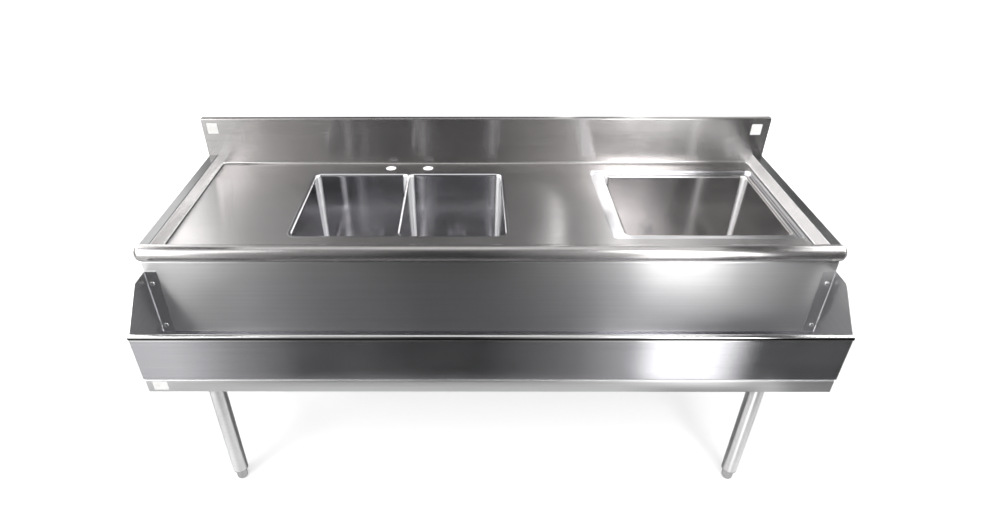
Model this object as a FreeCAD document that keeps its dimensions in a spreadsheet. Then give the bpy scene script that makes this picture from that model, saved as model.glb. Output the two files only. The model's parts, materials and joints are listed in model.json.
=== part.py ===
import FreeCAD, Part
import math
import os
import re

import Sketcher

# Underbar cocktail unit in folded stainless sheet: a drainboard top with splash, rolled front edge
# and end lips, two small bowls with a shared divider, a larger well with a stepped ledge, a front
# apron, a bottle rail bolted to the apron, and four tubular legs with screw-out bullet feet.
# X runs along the unit, the front faces -Y, Z is up, and the origin is on the floor at the middle.

SIZES = {
    # whole unit
    "overall_length": 1524.0,
    "deck_height": 770.0,
    "deck_run": 483.0,
    "gauge": 1.5,
    "weld_gap": 0.1,
    "cope_gap": 0.3,
    "cut_overrun": 6.0,
    # rolled front edge
    "roll_radius": 18.0,
    "deck_bend": 6.0,
    "cap_length": 13.0,
    "cap_round": 11.0,
    "cap_inset": 1.7,
    # splash
    "splash_height": 130.0,
    "splash_bend": 8.0,
    "splash_return": 19.0,
    "splash_hem": 14.0,
    "hem_bend": 3.0,
    # end lips
    "lip_height": 25.0,
    "lip_width": 25.0,
    "lip_lean": 11.0,
    "lip_bend": 4.0,
    "lip_tuck": 10.0,
    # tap holes
    "tap_spacing": 101.6,
    "tap_radius": 14.0,
    "tap_setback": 29.0,
    # small bowls
    "divider_run": 555.0,
    "divider": 8.0,
    "small_width": 242.0,
    "small_length": 313.0,
    "small_front": 101.0,
    "small_depth": 254.0,
    "small_corner": 12.0,
    "small_edge": 8.0,
    "small_land": 3.0,
    "bowl_draft": 1.0,
    "bowl_foot": 10.0,
    # well with its ledge
    "well_end": 60.0,
    "well_width": 380.0,
    "well_length": 305.0,
    "well_front": 116.0,
    "well_depth": 254.0,
    "well_corner": 12.0,
    "well_edge": 6.0,
    "ledge_left": 36.0,
    "ledge_right": 14.0,
    "ledge_front": 28.0,
    "ledge_back": 15.0,
    "ledge_drop": 8.0,
    "ledge_edge": 3.0,
    "ledge_cove": 2.0,
    "ledge_corner": 10.0,
    "ledge_land": 1.0,
    "well_land": 3.0,
    # front apron
    "apron_lead": 8.0,
    "apron_end_gap": 11.0,
    "apron_height": 228.0,
    "apron_flange": 10.0,
    "apron_return": 24.0,
    "apron_bend": 3.0,
    # bottle rail
    "rail_overhang": 1.0,
    "rail_depth": 131.5,
    "rail_floor_drop": 223.5,
    "rail_back_height": 30.0,
    "rail_bend": 4.0,
    "bead_radius": 6.5,
    "bead_lead": 3.0,
    "bead_drop": 105.0,
    "end_top_drop": 26.5,
    "end_top_run": 48.0,
    "end_flange": 27.0,
    "end_nose_round": 8.0,
    "band_height": 34.0,
    "band_end_gap": 3.0,
    "band_back_gap": 12.0,
    # rail fasteners
    "bolt_inset": 12.0,
    "bolt_upper_drop": 57.5,
    "bolt_lower_drop": 173.5,
    "bolt_radius": 3.0,
    "bolt_fit": 0.3,
    "bolt_length": 14.0,
    "bolt_head_radius": 5.5,
    "bolt_head_height": 3.4,
    "bolt_head_round": 2.4,
    "nut_radius": 5.8,
    "nut_height": 5.0,
    # leg channels and sockets
    "channel_width": 34.0,
    "channel_height": 25.0,
    "channel_bend": 4.0,
    "channel_end_gap": 30.0,
    "tap_clear": 30.0,
    "leg_inset": 69.0,
    "leg_front_set": 37.0,
    "leg_rear_set": 25.5,
    "socket_flange_radius": 31.0,
    "socket_flange": 3.0,
    "socket_height": 62.0,
    "socket_top_radius": 28.0,
    "socket_foot_radius": 24.5,
    "socket_fit": 0.2,
    "screw_radius": 4.0,
    "screw_length": 8.0,
    "screw_rise": 18.0,
    # legs and feet
    "leg_radius": 20.65,
    "leg_wall": 1.6,
    "leg_top_gap": 0.3,
    "insert_flange": 4.0,
    "insert_depth": 40.0,
    "insert_fit": 0.05,
    "foot_height": 38.0,
    "foot_radius": 15.0,
    "foot_round": 11.0,
    "foot_shoulder": 5.0,
    "foot_neck_radius": 11.0,
    "foot_seat_gap": 0.3,
    "stem_radius": 6.0,
    "stem_length": 46.0,
    "stem_fit": 0.06,
    # drains
    "drain_flange_radius": 30.0,
    "drain_flange": 2.2,
    "drain_flange_round": 1.2,
    "drain_recess": 1.4,
    "drain_barrel_radius": 22.4,
    "drain_throat_radius": 18.2,
    "drain_hole_fit": 0.5,
    "drain_length": 44.0,
    "gasket_width": 9.0,
    "gasket_thickness": 3.0,
    "locknut_radius": 34.0,
    "locknut_height": 8.0,
    "thread_fit": 0.2,
    "tail_radius": 19.05,
    "tail_wall": 1.5,
    "tail_length": 120.0,
    "tail_socket": 15.0,
    "tail_collar": 0.6,
    "tail_fit": 0.2,
    # lift-out strainers
    "strainer_radius": 24.2,
    "strainer_fit": 0.6,
    "strainer_thickness": 1.2,
    "strainer_hole_radius": 2.8,
    "strainer_hole_ring": 13.0,
    "knob_stem_radius": 3.0,
    "knob_rise": 8.0,
    "knob_radius": 6.5,
    "knob_height": 4.0,
    "knob_round": 1.5,
    # hexagon: half the width across flats for a corner radius of one
    "hex_share": 0.8660254,
}

# Places that follow from the sizes.
PLACES = {
    "half_length": "overall_length/2",
    "deck_under": "deck_height - gauge",
    "roll_y": "(apron_lead + rail_depth + bead_lead - deck_run - splash_return)/2",
    "roll_z": "deck_under + roll_radius",
    "roll_top": "roll_z + roll_radius",
    "cap_tip": "half_length - cap_inset",
    "roll_end": "cap_tip - cap_length - weld_gap",
    "splash_y": "roll_y + deck_run",
    "splash_top": "deck_height + splash_height",
    "back_y": "splash_y + splash_return",
    "lip_top": "deck_height + lip_height",
    "lip_face": "half_length - lip_width",
    "lip_foot": "lip_face - lip_lean",
    "lip_skew": "gauge*(sqrt(lip_height^2 + lip_lean^2) - lip_lean)/lip_height",
    "deck_end": "lip_foot - lip_bend",
    "tap_y": "splash_y - tap_setback",
    "divider_x": "divider_run - half_length",
    "small_y": "roll_y + small_front + small_length/2",
    "small_pitch": "(small_width + divider)/2",
    "small_margin": "small_edge + small_land",
    "well_x": "half_length - well_end - well_width/2",
    "well_y": "roll_y + well_front + well_length/2",
    "well_margin": "well_edge + well_land",
    "ledge_margin": "ledge_edge + ledge_land",
    "ledge_x": "well_x + (ledge_right - ledge_left)/2",
    "ledge_y": "well_y + (ledge_back - ledge_front)/2",
    "ledge_span_x": "well_width + ledge_left + ledge_right",
    "ledge_span_y": "well_length + ledge_front + ledge_back",
    "apron_length": "overall_length - 2*apron_end_gap",
    "apron_y": "roll_y - apron_lead",
    "apron_top": "deck_under - weld_gap",
    "apron_foot": "apron_top - apron_height",
    "panel_y": "apron_y - rail_depth",
    "rail_length": "apron_length + 2*rail_overhang",
    "rail_floor": "deck_height - rail_floor_drop",
    "rail_inner": "rail_length/2 - gauge",
    "bead_y": "panel_y - bead_lead + bead_radius",
    "bead_z": "deck_height - bead_drop",
    "end_top": "deck_height - end_top_drop",
    "bolt_x": "rail_length/2 - bolt_inset",
    "bolt_upper": "deck_height - bolt_upper_drop",
    "bolt_lower": "deck_height - bolt_lower_drop",
    "leg_x": "half_length - leg_inset",
    "leg_front_y": "roll_y + leg_front_set",
    "leg_rear_y": "splash_y - leg_rear_set",
    "channel_top": "deck_under - weld_gap",
    "channel_foot": "channel_top - channel_height",
    "channel_end": "half_length - channel_end_gap",
    "socket_foot": "channel_foot - socket_height",
    "screw_z": "socket_foot + screw_rise",
    "tube_foot": "foot_height + insert_flange",
    "tube_top": "channel_foot - socket_flange - leg_top_gap",
    "drain_hole_radius": "drain_barrel_radius + drain_hole_fit",
    "strainer_seat": "drain_flange - drain_recess + weld_gap",
    "recess_radius": "strainer_radius + strainer_fit",
}

STRAINER_HOLES = 8
NEAR = 1e-3
NAME = re.compile(r"[a-z][a-z_0-9]*")

doc = FreeCAD.newDocument("cocktail_unit")
sheet = doc.addObject("Spreadsheet::Sheet", "dims")
nodes = []


def fill_sheet():
    """Write every driving size into the sheet, one row each, under its own name."""
    for row, (name, size) in enumerate(SIZES.items(), start=1):
        sheet.set(f"A{row}", name)
        sheet.set(f"B{row}", str(size))
        sheet.setAlias(f"B{row}", name)
    doc.recompute()


def formula(text):
    """Spell out a formula with the sheet's cells in place of the names."""
    def spell(match):
        word = match.group(0)
        if word in PLACES:
            return "(" + formula(PLACES[word]) + ")"
        return "dims." + word if word in SIZES else word
    return NAME.sub(spell, text)


def measure(text):
    """The present value of a formula."""
    return float(sheet.evalExpression(formula(text)))


def new_body(label, x="0", y="0", z="0"):
    """Start a piece and put its own origin at the place given."""
    body = doc.addObject("PartDesign::Body", label)
    body.Label = label
    for axis, text in (("x", x), ("y", y), ("z", z)):
        body.setExpression(f"Placement.Base.{axis}", formula(text))
    nodes.append(body)
    return body


def sketch_on(body, role, offset="0"):
    """Start a sketch on one of the piece's origin planes, moved along the plane's normal."""
    sketch = body.newObject("Sketcher::SketchObject", body.Name + "_sketch")
    plane = [item for item in body.Origin.OriginFeatures if item.Role == role][0]
    sketch.AttachmentSupport = (plane, [""])
    sketch.MapMode = "FlatFace"
    sketch.setExpression("AttachmentOffset.Base.z", formula(offset))
    doc.recompute()
    return sketch


def bind(sketch, kind, *where, text):
    """Add a dimension that follows a formula."""
    index = sketch.addConstraint(Sketcher.Constraint(kind, *where, measure(text)))
    sketch.setExpression(f"Constraints[{index}]", formula(text))


def pin_point(sketch, geometry, end, x, y):
    """Hold one end of an edge at a place given by two formulas."""
    bind(sketch, "DistanceX", -1, 1, geometry, end, text=x)
    bind(sketch, "DistanceY", -1, 1, geometry, end, text=y)


def shifted(text, radius, sign):
    """A coordinate moved by a corner's radius along one axis."""
    if sign == 0:
        return text
    return f"({text}) {'+' if sign > 0 else '-'} ({radius})"


def heading(start, end):
    """Unit direction from one point to the next."""
    run = end - start
    return run.normalize()


def corner_marks(corners):
    """Each corner's two tangent points as formulas and vectors, equal where it is sharp."""
    spots = [FreeCAD.Vector(measure(c[0]), measure(c[1]), 0) for c in corners]
    marks = []
    for i, corner in enumerate(corners):
        if len(corner) == 2:
            marks.append(((corner[0], corner[1]), (corner[0], corner[1]), None, 0))
            continue
        before = heading(spots[i - 1], spots[i])
        after = heading(spots[i], spots[(i + 1) % len(spots)])
        radius = corner[2]
        arrive = (shifted(corner[0], radius, -round(before.x)), shifted(corner[1], radius, -round(before.y)))
        leave = (shifted(corner[0], radius, round(after.x)), shifted(corner[1], radius, round(after.y)))
        turn = before.x * after.y - before.y * after.x
        marks.append((arrive, leave, radius, turn))
    return marks


def arc_edge(arrive, leave, radius, turn):
    """A quarter bend between two points; it always runs anticlockwise."""
    first, last = (arrive, leave) if turn > 0 else (leave, arrive)
    run = last - first
    middle = (first + last) * 0.5
    normal = FreeCAD.Vector(-run.y, run.x, 0).normalize()
    rise = math.sqrt(max(radius * radius - run.Length * run.Length / 4, 0))
    centre = middle + normal * rise
    begin = math.atan2(first.y - centre.y, first.x - centre.x)
    finish = math.atan2(last.y - centre.y, last.x - centre.x)
    if finish < begin:
        finish += 2 * math.pi
    return Part.ArcOfCircle(Part.Circle(centre, FreeCAD.Vector(0, 0, 1), radius), begin, finish)


def draw(sketch, corners):
    """Draw a closed outline from its corners: (x, y) is sharp and (x, y, radius) is a right-angle bend."""
    marks = corner_marks(corners)
    edges = []
    for i, (arrive, leave, radius, turn) in enumerate(marks):
        if radius is not None:
            edges.append((arrive, leave, radius, turn))
        edges.append((leave, marks[(i + 1) % len(marks)][0], None, 0))
    placed = []
    for begin, finish, radius, turn in edges:
        start = FreeCAD.Vector(measure(begin[0]), measure(begin[1]), 0)
        end = FreeCAD.Vector(measure(finish[0]), measure(finish[1]), 0)
        if start.isEqual(end, NEAR):
            continue
        if radius is None:
            placed.append((sketch.addGeometry(Part.LineSegment(start, end), False), 1, 2, begin))
            continue
        size = measure(radius)
        index = sketch.addGeometry(arc_edge(start, end, size, turn), False)
        bind(sketch, "Radius", index, text=radius)
        placed.append((index, 1, 2, begin) if turn > 0 else (index, 2, 1, begin))
    for i, (index, first, last, begin) in enumerate(placed):
        following = placed[(i + 1) % len(placed)]
        sketch.addConstraint(Sketcher.Constraint("Coincident", index, last, following[0], following[1]))
        pin_point(sketch, index, first, *begin)
    doc.recompute()


def draw_box(sketch, x, y, width, length, radius=None):
    """Draw a rectangle about a centre, with rounded corners where a radius is given."""
    tail = () if radius is None else (radius,)
    draw(sketch, [(f"{x} - ({width})/2", f"{y} - ({length})/2", *tail),
                  (f"{x} + ({width})/2", f"{y} - ({length})/2", *tail),
                  (f"{x} + ({width})/2", f"{y} + ({length})/2", *tail),
                  (f"{x} - ({width})/2", f"{y} + ({length})/2", *tail)])


def draw_circle(sketch, x, y, radius):
    """Draw a circle about a centre."""
    centre = FreeCAD.Vector(measure(x), measure(y), 0)
    circle = Part.Circle(centre, FreeCAD.Vector(0, 0, 1), measure(radius))
    index = sketch.addGeometry(circle, False)
    bind(sketch, "Radius", index, text=radius)
    pin_point(sketch, index, 3, x, y)
    doc.recompute()


def draw_hexagon(sketch, x, y, radius):
    """Draw a hexagon with a corner on the x axis."""
    flat = f"({radius})*hex_share"
    draw(sketch, [(f"{x} + {radius}", y),
                  (f"{x} + ({radius})/2", f"{y} + {flat}"),
                  (f"{x} - ({radius})/2", f"{y} + {flat}"),
                  (f"{x} - {radius}", y),
                  (f"{x} - ({radius})/2", f"{y} - {flat}"),
                  (f"{x} + ({radius})/2", f"{y} - {flat}")])


def pad(body, sketch, length, reverse=False, middle=False, taper=None):
    """Raise a sketch into material."""
    feature = body.newObject("PartDesign::Pad", body.Name + "_pad")
    feature.Profile = sketch
    feature.Midplane = middle
    feature.Reversed = reverse
    feature.setExpression("Length", formula(length))
    if taper is not None:
        feature.setExpression("TaperAngle", formula(taper))
    doc.recompute()
    return feature


def cut(body, sketch, length, reverse=False, middle=False, taper=None):
    """Sink a sketch into the material and make sure that something went."""
    before = body.Shape.Volume
    feature = body.newObject("PartDesign::Pocket", body.Name + "_cut")
    feature.Profile = sketch
    feature.Midplane = middle
    feature.Reversed = reverse
    feature.setExpression("Length", formula(length))
    if taper is not None:
        feature.setExpression("TaperAngle", formula(taper))
    doc.recompute()
    if not body.Shape.Volume < before:
        raise ValueError(f"a cut in {body.Label} removes nothing")
    return feature


def revolve(body, corners, role="XZ_Plane", axis="V_Axis"):
    """Turn an outline of corners about an axis of its plane: the piece's upright axis unless named."""
    sketch = sketch_on(body, role)
    draw(sketch, corners)
    feature = body.newObject("PartDesign::Revolution", body.Name + "_turned")
    feature.Profile = sketch
    feature.ReferenceAxis = (sketch, [axis])
    doc.recompute()
    return feature


def turn_away(body, corners):
    """Turn an outline of (x, radius) corners about the piece's own x axis and take it away."""
    before = body.Shape.Volume
    sketch = sketch_on(body, "XY_Plane")
    draw(sketch, corners)
    feature = body.newObject("PartDesign::Groove", body.Name + "_cope")
    feature.Profile = sketch
    feature.ReferenceAxis = (sketch, ["H_Axis"])
    doc.recompute()
    if not body.Shape.Volume < before:
        raise ValueError(f"a turned cut in {body.Label} removes nothing")
    return feature


def loop_edges(feature, height, width, length):
    """Names of the edges of a level outline of the given size."""
    shape = feature.Shape
    wires = [wire for face in shape.Faces for wire in face.Wires]
    for wire in wires:
        box = wire.BoundBox
        level = abs(box.ZMin - measure(height)) < NEAR and box.ZLength < NEAR
        if level and abs(box.XLength - measure(width)) < NEAR and abs(box.YLength - measure(length)) < NEAR:
            found = [f"Edge{i}" for i, edge in enumerate(shape.Edges, start=1)
                     if any(edge.isSame(other) for other in wire.Edges)]
            return found
    raise ValueError(f"no outline at {height} on {feature.Label}")


def straight_edge(feature, **at):
    """Names of the edges that stay at the given coordinates along their whole length."""
    found = []
    for i, edge in enumerate(feature.Shape.Edges, start=1):
        box = edge.BoundBox
        low = {"x": box.XMin, "y": box.YMin, "z": box.ZMin}
        high = {"x": box.XMax, "y": box.YMax, "z": box.ZMax}
        gaps = [max(abs(low[axis] - measure(text)), abs(high[axis] - measure(text)))
                for axis, text in at.items()]
        if max(gaps) < NEAR:
            found.append(f"Edge{i}")
    if not found:
        raise ValueError(f"no such edge on {feature.Label}")
    return found


def round_edges(body, feature, names, radius):
    """Round the named edges."""
    rounding = body.newObject("PartDesign::Fillet", body.Name + "_round")
    rounding.Base = (feature, names)
    rounding.setExpression("Radius", formula(radius))
    doc.recompute()
    return rounding


def sheet_top():
    """The folded top: rolled front edge, deck, and splash with a turned-back top."""
    body = new_body("top_sheet")
    profile = sketch_on(body, "YZ_Plane")
    draw(profile, [
        ("roll_y", "deck_under"),
        ("roll_y - roll_radius", "deck_under", "roll_radius"),
        ("roll_y - roll_radius", "roll_top", "roll_radius"),
        ("roll_y + roll_radius", "roll_top", "roll_radius"),
        ("roll_y + roll_radius", "deck_height", "deck_bend"),
        ("splash_y", "deck_height", "splash_bend"),
        ("splash_y", "splash_top", "hem_bend"),
        ("back_y", "splash_top", "hem_bend"),
        ("back_y", "splash_top - splash_hem"),
        ("back_y - gauge", "splash_top - splash_hem"),
        ("back_y - gauge", "splash_top - gauge", "hem_bend - gauge"),
        ("splash_y + gauge", "splash_top - gauge", "hem_bend - gauge"),
        ("splash_y + gauge", "deck_under", "splash_bend + gauge"),
        ("roll_y + roll_radius - gauge", "deck_under", "deck_bend + gauge"),
        ("roll_y + roll_radius - gauge", "roll_top - gauge", "roll_radius - gauge"),
        ("roll_y - roll_radius + gauge", "roll_top - gauge", "roll_radius - gauge"),
        ("roll_y - roll_radius + gauge", "deck_height", "roll_radius - gauge"),
        ("roll_y", "deck_height"),
    ])
    pad(body, profile, "overall_length", middle=True)

    ends = sketch_on(body, "XY_Plane", "deck_height + deck_bend")
    for side in ("-1", "1"):
        draw_box(ends, f"{side}*(half_length + cut_overrun + deck_end)/2",
                 "(roll_y + roll_radius + splash_y)/2",
                 "half_length + cut_overrun - deck_end", "deck_run - roll_radius")
    cut(body, ends, "deck_bend + gauge + cut_overrun")

    trims = sketch_on(body, "XY_Plane", "roll_top + cut_overrun")
    for side in ("-1", "1"):
        draw_box(trims, f"{side}*(half_length + cut_overrun + roll_end)/2", "roll_y",
                 "half_length + cut_overrun - roll_end", "2*(roll_radius + cut_overrun)")
    cut(body, trims, "2*(roll_radius + cut_overrun)")

    openings = sketch_on(body, "XY_Plane", "deck_height + deck_bend")
    draw_box(openings, "ledge_x", "ledge_y", "ledge_span_x + 2*(ledge_margin + weld_gap)",
             "ledge_span_y + 2*(ledge_margin + weld_gap)", "ledge_corner + ledge_margin + weld_gap")
    for side in ("-1", "1"):
        draw_circle(openings, f"divider_x + {side}*tap_spacing/2", "tap_y", "tap_radius")
    cut(body, openings, "deck_bend + gauge + cut_overrun")
    for side in ("-1", "1"):
        bowl = sketch_on(body, "XY_Plane", "deck_height + deck_bend")
        draw_box(bowl, f"divider_x + {side}*small_pitch", "small_y",
                 "small_width + 2*(small_margin + weld_gap)",
                 "small_length + 2*(small_margin + weld_gap)", "small_corner + small_margin + weld_gap")
        cut(body, bowl, "deck_bend + gauge + cut_overrun")


def end_lips():
    """Raised lips with leaning inner walls at the two ends of the deck, coped to the rolled edge and its caps."""
    deck = "gauge - roll_radius"
    top = "gauge + lip_height - roll_radius"
    under = "0 - roll_radius"
    for label, side in (("end_lip_left", "-1"), ("end_lip_right", "1")):
        body = new_body(label, "0", "roll_y", "roll_z")
        profile = sketch_on(body, "XZ_Plane", "weld_gap - deck_run")
        draw(profile, [
            (f"{side}*(deck_end + weld_gap)", deck),
            (f"{side}*lip_foot", deck),
            (f"{side}*lip_face", top),
            (f"{side}*half_length", top, "hem_bend"),
            (f"{side}*half_length", under),
            (f"{side}*(half_length - gauge)", under),
            (f"{side}*(half_length - gauge)", f"{top} - gauge", "hem_bend - gauge"),
            (f"{side}*(lip_face + lip_skew)", f"{top} - gauge"),
            (f"{side}*(lip_foot + lip_skew)", under),
            (f"{side}*(deck_end + weld_gap)", under),
        ])
        folded = pad(body, profile, "deck_run - weld_gap - roll_radius + lip_tuck")
        for x, z, radius in (("lip_foot", deck, "lip_bend"), ("lip_face", top, "hem_bend"),
                             ("lip_foot + lip_skew", under, "lip_bend + gauge"),
                             ("lip_face + lip_skew", f"{top} - gauge", "hem_bend - gauge")):
            bend = straight_edge(folded, x=f"{side}*({x})", z=z)
            folded = round_edges(body, folded, bend, radius)

        inner = "deck_end - cut_overrun"
        tip = "cap_tip + weld_gap"
        reach = "roll_radius + cope_gap"
        below = sketch_on(body, "XY_Plane")
        draw_box(below, f"{side}*({inner} + {tip})/2", f"({reach})/2", f"{tip} - ({inner})", reach)
        cut(body, below, "roll_radius + cut_overrun")
        turn_away(body, [(f"{side}*({inner})", "0"), (f"{side}*({tip})", "0"),
                         (f"{side}*({tip})", reach, "cap_round + cope_gap"), (f"{side}*({inner})", reach)])


def roll_caps():
    """Pressed domes that close the two ends of the rolled edge."""
    for label, side in (("roll_cap_left", "-1"), ("roll_cap_right", "1")):
        body = new_body(label, f"{side}*cap_tip", "roll_y", "roll_z")
        back = f"0 - {side}*cap_length"
        inside = f"0 - {side}*gauge"
        revolve(body, [(back, "roll_radius - gauge"), (back, "roll_radius"),
                       ("0", "roll_radius", "cap_round"), ("0", "0"), (inside, "0"),
                       (inside, "roll_radius - gauge", "cap_round - gauge")], "XY_Plane", "H_Axis")


def bowl_walls(body, top, width, length, corner, depth, edge):
    """Draw the bowl below a flange: tapered walls, a rounded foot, and sheet-thick edges all round."""
    slope = "tan(bowl_draft * 1deg)"
    outside = sketch_on(body, "XY_Plane", top)
    draw_box(outside, "0", "0", f"{width} + 2*gauge", f"{length} + 2*gauge", f"{corner} + gauge")
    pad(body, outside, f"{depth} + gauge", reverse=True, taper="0 - bowl_draft")
    inside = sketch_on(body, "XY_Plane", top)
    draw_box(inside, "0", "0", width, length, corner)
    hollow = cut(body, inside, depth, taper="0 - bowl_draft")
    foot = loop_edges(hollow, f"{top} - ({depth})", f"{width} - 2*({depth})*{slope}",
                      f"{length} - 2*({depth})*{slope}")
    rounded = round_edges(body, hollow, foot, "bowl_foot")
    foot = loop_edges(rounded, f"{top} - ({depth}) - gauge",
                      f"{width} + 2*gauge - 2*({depth} + gauge)*{slope}",
                      f"{length} + 2*gauge - 2*({depth} + gauge)*{slope}")
    rounded = round_edges(body, rounded, foot, "bowl_foot + gauge")
    under = loop_edges(rounded, f"{top} - gauge", f"{width} + 2*gauge - 2*gauge*{slope}",
                       f"{length} + 2*gauge - 2*gauge*{slope}")
    flared = round_edges(body, rounded, under, f"{edge} - gauge")
    rim = loop_edges(flared, top, width, length)
    return round_edges(body, flared, rim, edge)


def drain_hole(body, depth):
    """Cut the drain hole through the middle of a bowl's floor."""
    sketch = sketch_on(body, "XY_Plane", f"cut_overrun - {depth}")
    draw_circle(sketch, "0", "0", "drain_hole_radius")
    cut(body, sketch, "2*cut_overrun + gauge")


def small_bowls():
    """Two drawn bowls whose flanges meet on the middle plane of the divider."""
    for label, side in (("bowl_left", "-1"), ("bowl_middle", "1")):
        body = new_body(label, f"divider_x + {side}*small_pitch", "small_y", "deck_height")
        flange = sketch_on(body, "XY_Plane")
        draw_box(flange, "0", "0", "small_width + 2*small_margin", "small_length + 2*small_margin",
                 "small_corner + small_margin")
        pad(body, flange, "gauge", reverse=True)
        bowl_walls(body, "0", "small_width", "small_length", "small_corner", "small_depth", "small_edge")
        drain_hole(body, "small_depth")
        trim = sketch_on(body, "XY_Plane", "cut_overrun")
        meet = "(small_width + divider - weld_gap)/2"
        spare = "small_width/2 + small_margin + cut_overrun"
        draw_box(trim, f"0 - {side}*({meet} + {spare})/2", "0", f"{spare} - {meet}",
                 "small_length + 2*(small_margin + cut_overrun)")
        cut(body, trim, "cut_overrun + small_edge + gauge")


def well():
    """The larger bowl, hung in a ledge that steps down from the deck all round its mouth."""
    ledge = new_body("well_ledge", "ledge_x", "ledge_y", "deck_height")
    flange = sketch_on(ledge, "XY_Plane")
    draw_box(flange, "0", "0", "ledge_span_x + 2*ledge_margin", "ledge_span_y + 2*ledge_margin",
             "ledge_corner + ledge_margin")
    pad(ledge, flange, "gauge", reverse=True)
    tray = sketch_on(ledge, "XY_Plane")
    draw_box(tray, "0", "0", "ledge_span_x + 2*gauge", "ledge_span_y + 2*gauge", "ledge_corner + gauge")
    pad(ledge, tray, "ledge_drop + gauge", reverse=True)
    recess = sketch_on(ledge, "XY_Plane")
    draw_box(recess, "0", "0", "ledge_span_x", "ledge_span_y", "ledge_corner")
    step = cut(ledge, recess, "ledge_drop")
    cove = loop_edges(step, "0 - ledge_drop", "ledge_span_x", "ledge_span_y")
    step = round_edges(ledge, step, cove, "ledge_cove")
    below = loop_edges(step, "0 - ledge_drop - gauge", "ledge_span_x + 2*gauge", "ledge_span_y + 2*gauge")
    step = round_edges(ledge, step, below, "ledge_cove + gauge")
    under = loop_edges(step, "0 - gauge", "ledge_span_x + 2*gauge", "ledge_span_y + 2*gauge")
    step = round_edges(ledge, step, under, "ledge_edge - gauge")
    rim = loop_edges(step, "0", "ledge_span_x", "ledge_span_y")
    round_edges(ledge, step, rim, "ledge_edge")
    mouth = sketch_on(ledge, "XY_Plane")
    draw_box(mouth, "well_x - ledge_x", "well_y - ledge_y", "well_width + 2*(well_margin + weld_gap)",
             "well_length + 2*(well_margin + weld_gap)", "well_corner + well_margin + weld_gap")
    cut(ledge, mouth, "ledge_drop + gauge + cut_overrun")

    body = new_body("bowl_right", "well_x", "well_y", "deck_height - ledge_drop")
    flange = sketch_on(body, "XY_Plane")
    draw_box(flange, "0", "0", "well_width + 2*well_margin", "well_length + 2*well_margin",
             "well_corner + well_margin")
    pad(body, flange, "gauge", reverse=True)
    bowl_walls(body, "0", "well_width", "well_length", "well_corner", "well_depth - ledge_drop", "well_edge")
    drain_hole(body, "(well_depth - ledge_drop)")


def front_apron():
    """The apron below the rolled edge, with flanges turned back at its top, foot and ends."""
    body = new_body("front_apron")
    profile = sketch_on(body, "YZ_Plane")
    inner = "apron_bend - gauge"
    draw(profile, [
        ("apron_y + apron_flange", "apron_top"),
        ("apron_y", "apron_top", "apron_bend"),
        ("apron_y", "apron_foot", "apron_bend"),
        ("apron_y + apron_flange", "apron_foot"),
        ("apron_y + apron_flange", "apron_foot + gauge"),
        ("apron_y + gauge", "apron_foot + gauge", inner),
        ("apron_y + gauge", "apron_top - gauge", inner),
        ("apron_y + apron_flange", "apron_top - gauge"),
    ])
    pad(body, profile, "apron_length", middle=True)
    returns = sketch_on(body, "XY_Plane", "apron_foot")
    for side in ("-1", "1"):
        draw_box(returns, f"{side}*(apron_length - gauge)/2", "apron_y + apron_bend + apron_return/2",
                 "gauge", "apron_return")
    pad(body, returns, "apron_height - apron_bend")
    holes = sketch_on(body, "XZ_Plane", "0 - apron_y + cut_overrun")
    draw_bolt_circles(holes, "bolt_radius + bolt_fit")
    cut(body, holes, "2*cut_overrun + gauge")


def draw_bolt_circles(sketch, radius):
    """Draw the four bolt places of the rail."""
    for side in ("-1", "1"):
        for height in ("bolt_upper", "bolt_lower"):
            draw_circle(sketch, f"{side}*bolt_x", height, radius)


def rail_trough():
    """The bottle rail: front panel with a beaded rim, floor, and a short back against the apron."""
    body = new_body("rail_trough")
    profile = sketch_on(body, "YZ_Plane")
    inner = "rail_bend - gauge"
    draw(profile, [
        ("panel_y", "bead_z - bead_radius + gauge"),
        ("panel_y", "rail_floor", "rail_bend"),
        ("apron_y - weld_gap", "rail_floor", "rail_bend"),
        ("apron_y - weld_gap", "rail_floor + rail_back_height"),
        ("apron_y - weld_gap - gauge", "rail_floor + rail_back_height"),
        ("apron_y - weld_gap - gauge", "rail_floor + gauge", inner),
        ("panel_y + gauge", "rail_floor + gauge", inner),
        ("panel_y + gauge", "bead_z - bead_radius + gauge"),
    ])
    pad(body, profile, "2*(rail_inner - weld_gap)", middle=True)
    bead = sketch_on(body, "YZ_Plane")
    draw_circle(bead, "bead_y", "bead_z", "bead_radius")
    draw_circle(bead, "bead_y", "bead_z", "bead_radius - gauge")
    pad(body, bead, "rail_length", middle=True)


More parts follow.
